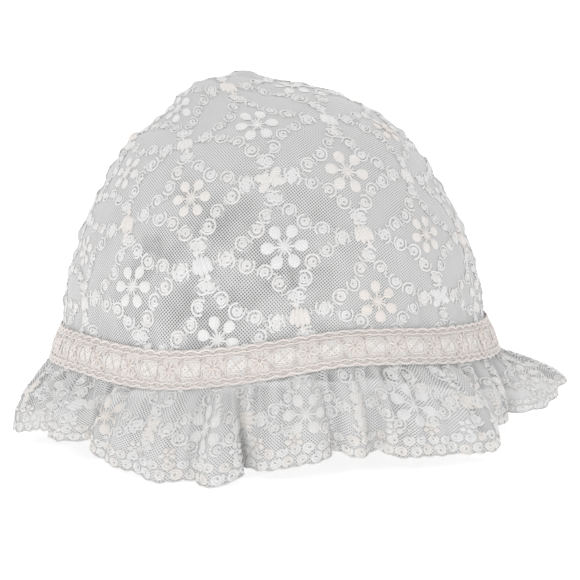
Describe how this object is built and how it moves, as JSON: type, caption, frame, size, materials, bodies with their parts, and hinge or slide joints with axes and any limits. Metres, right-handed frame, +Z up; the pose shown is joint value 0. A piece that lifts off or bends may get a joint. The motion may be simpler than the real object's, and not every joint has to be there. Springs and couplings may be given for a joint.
{
  "type": "baby sun hat",
  "caption": "Domed baby sun hat of embroidered net, with a lace insertion round the lower edge and a gathered ruffle brim.",
  "frame": {"origin": "on the ground under the middle of the hat's whole outline, ruffle included", "axes": "+Z up to the top of the crown, -Y towards the front of the hat, +X towards the wearer's left"},
  "size_m": [0.1944, 0.1852, 0.128],
  "materials": {
    "embroidered_net": "white cotton embroidery on fine see-through net, matte",
    "embroidered_net_ruffle": "the same net, gathered, with a dense embroidered hem",
    "cotton_lace": "cream cotton lace insertion, matte",
    "cotton_seam": "folded seam allowance of the net, matte"
  },
  "bodies": {
    "root": {"crown_front": "embroidered_net", "crown_back": "embroidered_net", "crown_seam": "cotton_seam", "trim_band": "cotton_lace", "ruffle_brim": "embroidered_net_ruffle"}
  },
  "joints": []
}
